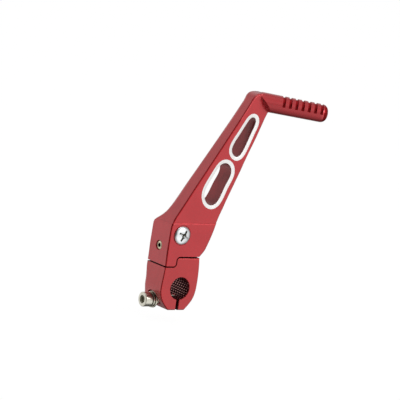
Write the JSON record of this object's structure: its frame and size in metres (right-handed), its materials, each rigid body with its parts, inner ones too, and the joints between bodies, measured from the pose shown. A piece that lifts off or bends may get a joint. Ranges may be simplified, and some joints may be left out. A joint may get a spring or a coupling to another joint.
{
  "type": "folding kick-starter lever",
  "caption": "Folding kick-starter lever: slotted clamp boss with splined bore, swivelling slotted arm and ribbed foot peg.",
  "frame": {"origin": "centre of the splined bore on the boss's inboard face, where the kick shaft enters", "axes": "+Y along the kick shaft, inboard into the engine; -Y outboard; +Z along the boss and its fold pivot, towards the arm; +X towards the side that the arm leans to"},
  "size_m": [0.1197, 0.0484, 0.163],
  "materials": {
    "anodised_red_boss": "satin red anodised, bead blasted",
    "anodised_red_arm": "satin red anodised, bead blasted, bare machined chamfers round the slots",
    "bolt_steel": "zinc plated",
    "washer_steel": "zinc plated",
    "plated_screw": "bright plated",
    "set_screw_zinc": "yellow zinc plated",
    "spring_steel": "bright drawn wire",
    "ball_steel": "polished bearing steel"
  },
  "bodies": {
    "boss": {"clamp_boss": "anodised_red_boss", "pinch_bolt": "bolt_steel", "pinch_spring_washer": "washer_steel", "pinch_flat_washer": "washer_steel"},
    "arm": {"lever_arm": "anodised_red_arm", "pivot_retaining_screw": "plated_screw", "detent_set_screw": "set_screw_zinc", "detent_spring": "spring_steel"},
    "ball": {"detent_ball": "ball_steel"}
  },
  "joints": [
    {"name": "fold", "type": "hinge", "parent": "boss", "child": "arm", "pos_m": [0.0033, -0.012, 0.034], "axis": [0, 0, 1], "range_deg": [-60, 0]},
    {"name": "detent", "type": "slide", "parent": "arm", "child": "ball", "axis": [-1, 0, 0], "range_m": [0, 0.0005], "stiffness_N_per_m": 1500, "springref_m": -0.0008, "deforming": ["detent_spring"]}
  ]
}
